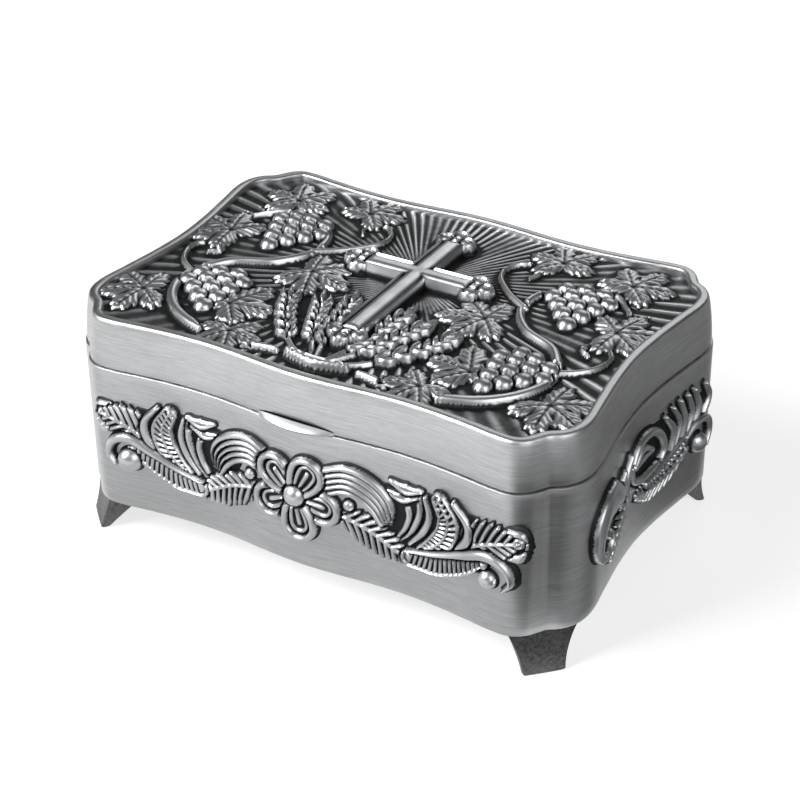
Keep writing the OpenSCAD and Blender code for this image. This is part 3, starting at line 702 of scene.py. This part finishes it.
def relief_piece(name, relief, place, keep, back, patina, fan=False):
    """A closed piece from a height field: the kept cells of its face, walls down to depth "back"
    along every edge of a kept cell that has no kept neighbour, and the same cells at that depth
    or, on a flat back, a fan of triangles from those edges to one point."""
    rows, cols = relief.shape
    total = rows * cols
    cells = keep.reshape(rows, cols)
    cells = cells[:-1, :-1] & cells[1:, :-1] & cells[:-1, 1:] & cells[1:, 1:]
    index = np.arange(total).reshape(rows, cols)
    a, b, c, d = index[:-1, :-1], index[:-1, 1:], index[1:, 1:], index[1:, :-1]
    face = np.stack([a, b, c, d], -1)[cells]
    bare = np.pad(~cells, 1, constant_values=True)
    edges = []
    for first, second, open_side in ((a, b, bare[:-2, 1:-1]), (b, c, bare[1:-1, 2:]),
                                     (c, d, bare[2:, 1:-1]), (d, a, bare[1:-1, :-2])):
        at_edge = cells & open_side
        edges.append(np.stack([first[at_edge], second[at_edge]], -1))
    edges = np.concatenate(edges)
    walls = np.column_stack([edges[:, ::-1], edges + total])
    points = np.concatenate([place(relief.height), place(np.full(total, back))])
    dark = np.concatenate([patina, np.ones(total)])
    if fan:
        heart = np.full(len(edges), 2 * total)
        points = np.concatenate([points, points[total:].mean(0, keepdims=True)])
        dark = np.append(dark, 1.0)
        quads, spokes = np.concatenate([face, walls]), np.column_stack([edges[:, ::-1] + total, heart])
    else:
        quads, spokes = np.concatenate([face, walls, face[:, ::-1] + total]), np.zeros((0, 3), int)
    used, compact = np.unique(np.concatenate([quads.ravel(), spokes.ravel()]), return_inverse=True)
    quads, spokes = compact[:quads.size].reshape(-1, 4), compact[quads.size:].reshape(-1, 3)
    return mesh_piece(name, points[used], quads, spokes, sharp=60, patina=dark[used])


# ---- Floral bands on the walls ------------------------------------------------------------------

BAND_STEP = 0.205
BAND_GROUND = 0.25
# A band's lowest and highest reach from its middle
BAND_SPAN = -12.4, 13.2
# Width of the dark edge left round the motifs
HALO = 0.55


def flower(r):
    """Five rolled petals round a ball."""
    for k in (3, 1, 4, 0, 2):
        r.petal((0, 0), math.radians(72 * k + 28), 11.2, 8.8, 1.7)
    r.ball((0, 0), 2.6, 2.6)


def between(first, last, share):
    """A path part of the way from one path to another with as many keys."""
    return np.asarray(first) * (1 - share) + np.asarray(last) * share


def half_band(r, m, ball_radius):
    """One half of a long band; m is 1 for the right half and -1 for its mirror image, which is a
    little shorter."""

    stretch = 1.0 if m > 0 else 0.93

    def flip(keys):
        return np.asarray(keys) * [m * stretch, 1]

    r.plume(flip([(20, 4), (28, 3), (36, 3), (42, 4)]), [9, 13, 13, 9], 0.02)
    r.plume(flip([(20, -4), (30, -4), (40, -2)]), [8, 6, 5], 0.02)
    r.plume(flip([(50.4, 7.8), (52.8, 7.4), (54.2, 5.4)]), [2.0, 2.8, 1.0], 1.2)
    r.plume(flip([(50.6, 2.0), (52.6, 2.4), (53.8, 3.8)]), [1.6, 2.4, 1.0], 1.2)
    r.fern(flip([(39.4, -0.8), (43, 2.4), (47.6, 4.6), (52.6, 6.0)]), [3, 9, 11, 9, 3], 1.3, 2.0, 1.0,
           (1.0, 0.85) if m > 0 else (0.85, 1.0))
    r.plume(flip([(37.6, 10.2), (41.2, 5.4), (39.4, 0.4), (31, -5)]), [1.2, 2.2, 2.2, 1.4], 1.5)
    r.ribbon(flip([(34.2, 9.6), (36.4, 5), (34.6, -0.2), (29.4, -4.6)]), [3.6, 5.4, 5.2, 2.4], 1.5, 1.3,
             0.8, 0.9, 0.5 * m, 0.7)
    r.plume(flip([(30.6, 9.0), (31.6, 4.6), (30.2, 0.4), (27, -3.6)]), [1.0, 1.7, 1.9, 1.0], 1.3)
    r.plume(flip([(29.0, 9.8), (29.4, 4.8), (27.6, 0), (24.8, -3.4)]), [1.4, 1.5, 1.7, 1.0], 1.4)
    r.plume(flip([(25.2, 7.4), (26.8, 3.6), (26, 0), (24.4, -2.6)]), [1.0, 1.5, 1.5, 0.9], 1.2)
    r.plume(flip([(21.4, 7.4), (25, 6.6), (28.6, 7.8)]), [1.2, 3.0, 1.0], 0.9, 2, 0.4)
    r.plume(flip([(22.4, 10.0), (26.2, 9.0), (29.8, 9.8)]), [1.2, 3.2, 1.0], 1.0, 2, 0.4)
    r.fern(flip([(10.4, -1.4), (17, -3.2), (22, -5.6), (27.4, -8.6)]), [4, 9, 8.4, 2.4], 1.3, 1.9, 0.75,
           (0.8, 1.15) if m > 0 else (1.15, 0.8))
    crest = [(6.5, 8.2), (12.6, 9.8), (18.4, 8.2), (22.2, 4.2), (22.4, -0.4)]
    cradle = [(8, 3.0), (12, 4.4), (15.6, 3.6), (18.6, 1.4), (20.4, -1.2)]
    for share, width in ((0, 2.4), (0.25, 1.9), (0.5, 1.7), (0.75, 1.7), (1, 1.6)):
        r.plume(flip(between(crest, cradle, share)), [1.2, width, width, width, 1.0], 1.5 + 0.1 * share,
                moat=0.3)
    r.ball((m * stretch * 12.6, 1.0), 1.3, 1.3)
    r.ribbon(flip([(27.0, -7.2), (33, -6.6), (39.4, -4.0), (44.4, -1.4)]), [4.4, 5.4, 5.2, 3.0], 1.4, 1.25,
             0.9, 0.9, -0.35 * m)
    r.plume(flip([(26.2, -5.4), (33, -3.9), (40, -1.2), (45.6, 0.9), (49.6, -0.4), (51.2, -3.8),
                  (49.4, -6.4)]), [0.9, 1.4, 1.7, 2.4, 2.6, 2.0, 0.9], 1.8)
    r.ball((m * stretch * 45.8, -4.8), ball_radius, ball_radius * 0.95)


def wall_place(x, z, key, turned, overhang, flat_from):
    """Places heights on a wall: the wall's own plan at each x, except that past flat_from the
    casting runs straight on over the corner."""
    run = np.linspace(key - 14, key + 14, 4001)
    wall = plan(run, np.full(len(run), BODY_REACH)) @ turned.T
    ahead = np.abs(x) - flat_from
    held = np.clip(x, -flat_from, flat_from)
    depth = -np.interp(held, wall[:, 0], wall[:, 1]) - np.clip(ahead, 0, None) * overhang

    def place(height):
        flat = np.column_stack([x, -(depth + height)]) @ turned
        return np.column_stack([flat, z + BAND_HEIGHT])

    return place


def turned_wall(quarter_turns):
    """Turns plan points so that the wall asked for faces -Y: 0 front, 1 right, 2 back, 3 left."""
    c, s = [(1, 0), (0, 1), (-1, 0), (0, -1)][quarter_turns]
    return np.array([[c, s], [-s, c]], float)


def long_band(name, key, quarter_turns, node, balls):
    """The band of a long side: two mirrored halves with a flower over their join."""
    r = bare_relief(55.6, *BAND_SPAN, BAND_STEP, BAND_GROUND)
    half_band(r, 1, balls[0])
    half_band(r, -1, balls[1])
    flower(r)
    finish_band(name, r, key, quarter_turns, node, 49.5)


def finish_band(name, r, key, quarter_turns, node, flat_from):
    """A band as a piece on its wall; the back's is cut away under the hinge's seat."""
    patina = r.patina(0.8 / BAND_STEP, 0.55)
    outside = np.clip(-r.edge / HALO, 0, 2)
    r.height = np.where(r.edge > 0, r.height, 0.3 - 0.45 * outside)
    patina = np.where(r.edge > -0.1, patina, 1.0)
    r.height = 0.75 * r.height + 0.25 * r.blurred(r.height, 0.6)
    place = wall_place(r.x, r.y, key, turned_wall(quarter_turns), 0.12, flat_from)
    keep = r.edge > -1.5 * HALO
    if key == BACK_KEY:
        gap = 0.2
        keep &= (np.abs(r.x) > SEAT_HALF + gap) | (r.y + BAND_HEIGHT < SEAT_LOW - gap)
    piece = relief_piece(name, r, place, keep, -0.7, patina)
    dress(piece, RELIEF, "box", "ornament_metal", node)


def side_band(name, key, quarter_turns, node):
    """The band of a short side, with its large scroll at the drawing's left."""
    r = bare_relief(36, *BAND_SPAN, BAND_STEP, BAND_GROUND)
    r.plume([(-16, 1), (-8, 2), (4, 2.6), (16, 3), (26, 4)], [5, 9, 12, 10, 6], 0.02)
    r.fern([(-3, -4), (4, -6), (12, -6.2), (19, -4)], [3, 7, 6, 2], 1.0, 1.8, -1.0)
    r.fern([(-6, 0), (-11, -3.2), (-15.6, -7.2), (-18.6, -10.6)], [5, 6.6, 5, 1.4], 1.0, 1.9,
           scallop=0.35)
    for top, low, width in (((9.4, 9.0), (11.4, -2), 1.9), ((12.4, 9.8), (13.4, 0), 1.3),
                            ((15.2, 10.2), (15.4, -1.6), 2.0), ((18.2, 10.2), (17.8, 0.6), 1.3),
                            ((20.8, 10.4), (19.4, -0.6), 2.0), ((25.4, 9.8), (23.6, 1.6), 1.9)):
        bend = (max(top[0], low[0]) + 1.8, (top[1] + low[1]) / 2)
        r.plume([top, bend, low], [1.2, width, width, 1.0], 1.4)
    r.plume([(-7.4, 8.6), (-9.8, 5.2), (-9.4, 0.6)], [1.3, 2.2, 1.2], 1.5)
    r.plume([(-11.4, 7.2), (-13.8, 3.8), (-13, -0.4)], [1.3, 2.4, 1.2], 1.5)
    r.plume([(-7, 5.4), (-3, 8.6), (3, 8.6), (7.4, 5.8), (9, 1.6), (7, -0.8)],
            [1.2, 2.0, 2.2, 2.2, 2.0, 1.2], 1.6)
    r.plume([(-7, 5.2), (-5.4, 1.2), (0, -1.2), (6.4, -0.8)], [1.2, 1.9, 1.9, 1.2], 1.5)
    r.plume([(-4, 3.6), (0, 4.8), (4, 3.8)], [2, 5.0, 2], 1.2, 2, 0.5)
    r.ribbon([(2, -4), (9, -3.4), (16, -1.2), (21, 0.6)], [2, 3, 3, 2], 1.3, 1.2)
    r.plume([(18, -0.4), (22.6, 1.4), (27, 0.2), (28.6, -3.2), (26.6, -6.4)],
            [1.2, 2.0, 2.2, 1.8, 1.0], 1.6)
    r.ball((23.8, -4.6), 2.5, 2.4)
    r.plume([(-14.2, 3.4), (-18.6, 5.4), (-23.6, 5.0), (-26.8, 1.4), (-26.6, -3.8), (-22.8, -6.2),
             (-19.4, -4.4), (-20, -1.8), (-22.2, -2.0)], [4.4, 7.4, 7.0, 6.0, 4.0, 2.8, 2.0, 1.6, 1.2],
            1.8, 1, 0.25, 0.7)
    finish_band(name, r, key, quarter_turns, node, 30.0)


long_band("front_band", FRONT_KEY, 0, "ornament_front", (2.2, 2.9))
long_band("back_band", BACK_KEY, 2, "ornament_back", (2.2, 2.9))
side_band("right_band", RIGHT_KEY, 1, "ornament_right")
side_band("left_band", LEFT_KEY, 3, "ornament_left")

# ---- Relief in the lid --------------------------------------------------------------------------

LID_STEP = 0.3
CROSSING = (0.0, 9.0)


def lay_lid_relief(r):
    """A cross before rays, between vines with leaves and grapes, over ears of wheat."""
    dx, dy = r.x - CROSSING[0], r.y - CROSSING[1]
    away = np.hypot(dx, dy)
    fan = np.arctan2(dx, dy) / TURN
    rays = wave(fan * 90) ** 1.6 * (0.62 + 0.38 * np.cos(fan * TURN * 9))
    r.height += 0.4 * rays * np.clip((away - 6) / 10, 0, 1)
    for m in (-1, 1):

        def flip(keys):
            return np.asarray(keys) * [m, 1]

        def leaf(spot, turn, size, rise=2.1):
            r.vine_leaf(flip(spot), m * math.radians(turn), size, rise)

        def bunch(spot, turn, rows, rise=3.2):
            r.grapes(flip(spot), m * math.radians(turn), rows, 2.2, rise)

        r.plume(flip([(10, -33), (24, -34), (38, -29), (45, -18), (41, -6), (31, 0), (26, 9), (30, 19),
                      (41, 22), (48, 16)]), [1.6, 2.6, 2.6, 2.4, 2.4, 2.2, 2.0, 1.8, 1.4, 0.8], 1.8)
        r.plume(flip([(43, -14), (50, -9), (52, -2), (47.6, 1.4), (45, -1.6), (47.4, -3.4)]),
                [1.6, 1.4, 1.2, 1.1, 1.0, 0.7], 1.4)
        r.plume(flip([(27, 8), (20, 13), (15, 20), (17.6, 26), (22.4, 24.6), (21.4, 20.6)]),
                [1.6, 1.4, 1.2, 1.1, 1.0, 0.7], 1.4)
        leaf((49.5, -25), 118, 10.5)
        leaf((29.5, -21.5), -24, 11.5)
        leaf((23, -31), 205, 9.0, 1.9)
        leaf((48.5, 7.5), 70, 10.5)
        leaf((43, 27.5), 22, 10.0)
        leaf((25, 30), -24, 9.2, 1.9)
        leaf((21.6, -0.5), -104, 10.8)
        bunch((39, -11), 200, (3, 4, 3, 2, 1))
        bunch((35, 20.5), 170, (3, 4, 3, 2, 1))
        for stalk in ([(0.8, -34), (9, -29), (16.6, -19), (19.4, -13)],
                      [(0.6, -34), (6.6, -24), (12.4, -11)],
                      [(0.4, -34), (3.6, -24), (6.6, -8)]):
            r.wheat_ear(flip(stalk), 6, 3.8, 2.3)
    r.cross(-21, 26, 14, CROSSING[1], 3.2, 3.0)
    r.plume([(-7, -33), (0, -34.2), (7, -33)], [2.0, 3.4, 2.0], 2.6, 2, 0.5)


def inside_plan(x, y, reach):
    """Whether points lie inside the plan: the number of its edges crossed on the way out is odd."""
    ring = plan_ring(reach, 0)[:, :2]
    odd = np.zeros(x.shape, bool)
    for (ax, ay), (bx, by) in zip(ring, np.roll(ring, -1, axis=0)):
        across = (ay > y) != (by > y)
        odd ^= across & (x < (bx - ax) * (y - ay) / (by - ay + 1e-12) + ax)
    return odd


def lid_relief():
    """The relief on its ground, cut out along the rim, on the lid's field."""
    r = bare_relief(58, -40, 40, LID_STEP, 0.3)
    lay_lid_relief(r)
    patina = r.patina(0.9 / LID_STEP, 0.25)
    r.height = 0.8 * r.height + 0.2 * r.blurred(r.height, 0.6)
    under_rim = 0.6
    keep = inside_plan(r.x, r.y, -RIM_WIDTH + under_rim)

    def place(height):
        return np.column_stack([r.x, r.y, FIELD + height])

    piece = relief_piece("lid_relief_casting", r, place, keep, 0.0, patina, fan=True)
    dress(piece, RELIEF, "lid", "ornament_metal", "lid_relief")


lid_relief()

# ---- Velvet -------------------------------------------------------------------------------------


def drawn_in(ring, share, z):
    """A ring shrunk towards the plan's middle, at one height."""
    return np.column_stack([ring[:, :2] * share, np.full(len(ring), z)])


def floor_pad():
    """A padded board: its side rises to a soft edge and its top swells slowly to the middle."""
    side = plan_ring(LINING_REACH - LINING_THICK - 0.1, 0)
    spots = [(0.985, FLOOR_TOP), (1, FLOOR_TOP + 0.3), (1, PAD_TOP - 1.2), (0.996, PAD_TOP - 0.85),
             (0.985, PAD_TOP - 0.62), (0.96, PAD_TOP - 0.45), (0.9, PAD_TOP - 0.28),
             (0.75, PAD_TOP - 0.12), (0.5, PAD_TOP - 0.03), (0.25, PAD_TOP)]
    return ring_piece("floor_velvet", [drawn_in(side, *spot) for spot in spots], sharp=60)


def wall_lining():
    """A band of covered card round the inside, with a soft roll along its top edge."""
    thick = LINING_THICK
    profile = [(0, FLOOR_TOP), (0, LINING_TOP - 0.4), (-0.15, LINING_TOP - 0.12), (-0.4, LINING_TOP),
               (-0.6, LINING_TOP), (0.15 - thick, LINING_TOP - 0.12), (-thick, LINING_TOP - 0.4),
               (-thick, LINING_TOP - 2), (-thick, FLOOR_TOP)]
    rings = [plan_ring(LINING_REACH + out, z) for out, z in profile]
    return ring_piece("wall_velvet", rings, closed_loop=True, sharp=60)


def lid_lining():
    """A covered board under the lid's top, with a soft edge and a slight swell downwards."""
    side = plan_ring(LINING_REACH, 0)
    low, high = LID_LINING_LOW, LID_LINING_HIGH
    spots = [(0.25, low), (0.6, low + 0.05), (0.9, low + 0.15), (0.985, low + 0.3), (1, low + 0.6),
             (1, high)]
    return ring_piece("lid_velvet", [drawn_in(side, *spot) for spot in spots], sharp=60)


dress(floor_pad(), VELVET, "box", "velvet", "floor_pad")
dress(wall_lining(), VELVET, "box", "velvet", "wall_lining")
dress(lid_lining(), VELVET, "lid", "velvet", "lid_lining")

# ---- Other parts --------------------------------------------------------------------------------

for name in ("hinge_leaf_body", "hinge_leaf_lid", "hinge_pin", "hinge_screws_body",
             "hinge_screws_lid", "foot_screws"):
    coat(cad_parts[name], STEEL)
coat(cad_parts["floor_plate"], CASTING)

# ---- Stage, lights and camera -------------------------------------------------------------------


def seen_directly(tree):
    """1 for rays that show what they hit: from the camera, off metal or through glass."""
    rays = tree.nodes.new("ShaderNodeLightPath")
    seen = rays.outputs["Is Camera Ray"]
    for kind in ("Is Glossy Ray", "Is Transmission Ray"):
        either = tree.nodes.new("ShaderNodeMath")
        either.operation = "MAXIMUM"
        tree.links.new(seen, either.inputs[0])
        tree.links.new(rays.outputs[kind], either.inputs[1])
        seen = either.outputs[0]
    return seen


def flat_sheet(name, corners):
    """One four-cornered face."""
    return mesh_piece(name, np.array(corners, float), np.array([[0, 1, 2, 3]]))


def pale_floor():
    """A wide floor that looks white and keeps a faint shadow of what stands on it."""
    half = 3000.0
    floor = flat_sheet("floor", [[-half, -half, 0], [half, -half, 0], [half, half, 0], [-half, half, 0]])
    f = Finish("pale_floor")
    glow = f.math("MULTIPLY", seen_directly(f.tree), 0.72)
    f.put(f.shader, {"Base Color": grey(0.42), "Roughness": 0.8, "Specular IOR Level": 0.0,
                     "Emission Color": grey(1.0), "Emission Strength": glow})
    coat(floor, f.material)


def card(name, tone, corners):
    """A grey card that only reflections see, as photographers set beside polished metal: painted shade in
    what the metal reflects.
    """
    sheet = flat_sheet(name, corners)
    f = Finish(name)
    f.put(f.shader, {"Base Color": grey(tone), "Roughness": 1.0, "Specular IOR Level": 0.0})
    coat(sheet, f.material)
    sheet.visible_camera = False
    sheet.visible_diffuse = False
    sheet.visible_shadow = False


def studio_world():
    """White to the camera and in reflections, and a soft grey light on everything else."""
    world = bpy.data.worlds.new("studio")
    world.use_nodes = True
    tree = world.node_tree
    background = tree.nodes["Background"]
    strength = tree.nodes.new("ShaderNodeMapRange")
    strength.inputs["To Min"].default_value = 0.55
    strength.inputs["To Max"].default_value = 1.0
    tree.links.new(seen_directly(tree), strength.inputs["Value"])
    tree.links.new(strength.outputs["Result"], background.inputs["Strength"])
    bpy.context.scene.world = world


def softbox(name, spot, size, power):
    """A rectangular lamp aimed at the box; its places are in metres and its power in watts."""
    lamp = bpy.data.lights.new(name, "AREA")
    lamp.shape = "RECTANGLE"
    lamp.size, lamp.size_y = size
    lamp.energy = power
    light = bpy.data.objects.new(name, lamp)
    light.location = spot
    box_middle = Vector((0, 0, 0.03))
    light.rotation_euler = (box_middle - Vector(spot)).to_track_quat("-Z", "Y").to_euler()
    bpy.context.scene.collection.objects.link(light)


def camera():
    """The photograph's view: aimed by turn, rise and roll at a point beside the lid's middle."""
    turn, rise, roll = math.radians(-30.64), math.radians(31.52), math.radians(-0.62)
    distance, aim_right, aim_up = 466.6, -0.47, 23.6
    focal_px, frame_px, sensor = 2159.7, 800, 36.0
    ahead = np.array([math.sin(turn) * math.cos(rise), math.cos(turn) * math.cos(rise), -math.sin(rise)])
    level_right = unit(np.cross(ahead, [0, 0, 1]))
    level_up = np.cross(level_right, ahead)
    right = math.cos(roll) * level_right + math.sin(roll) * level_up
    up = -math.sin(roll) * level_right + math.cos(roll) * level_up
    spot = PLAN_MIDDLE + [0, 0, LID_TOP] - aim_right * right - aim_up * up - distance * ahead
    data = bpy.data.cameras.new("photo_view")
    data.sensor_width = sensor
    data.lens = focal_px / frame_px * sensor
    data.clip_start = 0.01
    view = bpy.data.objects.new("photo_view", data)
    axes = np.column_stack([right, up, -ahead, spot * MM])
    view.matrix_world = Matrix([*axes.tolist(), [0, 0, 0, 1]])
    bpy.context.scene.collection.objects.link(view)
    bpy.context.scene.camera = view


pale_floor()
# Cards seen only in reflections: painted shade that darkens the metal's reflections of the floor and
# surroundings
card("reflected_shade_in_front", 0.62, [[-150, -100, 1], [60, -100, 1], [60, -44, 1], [-150, -44, 1]])
card("reflected_shade_at_corner", 0.03, [[62, -190, 1], [240, -190, 1], [240, -46, 1], [62, -46, 1]])
card("reflected_shade_beside", 0.3, [[66, -46, 1.5], [420, -46, 1.5], [420, 420, 1.5], [66, 420, 1.5]])
card("reflected_shade_behind", 0.3, [[420, -230, 1], [420, 420, 1], [420, 420, 150], [420, -230, 150]])
studio_world()
softbox("key", (-0.7, -0.8, 0.9), (0.7, 0.7), 25)
softbox("fill", (0.9, -0.5, 0.6), (0.8, 0.8), 6)
softbox("back", (-0.2, 1.1, 0.8), (1.0, 0.5), 3)
camera()
bpy.context.scene.view_settings.view_transform = "Standard"
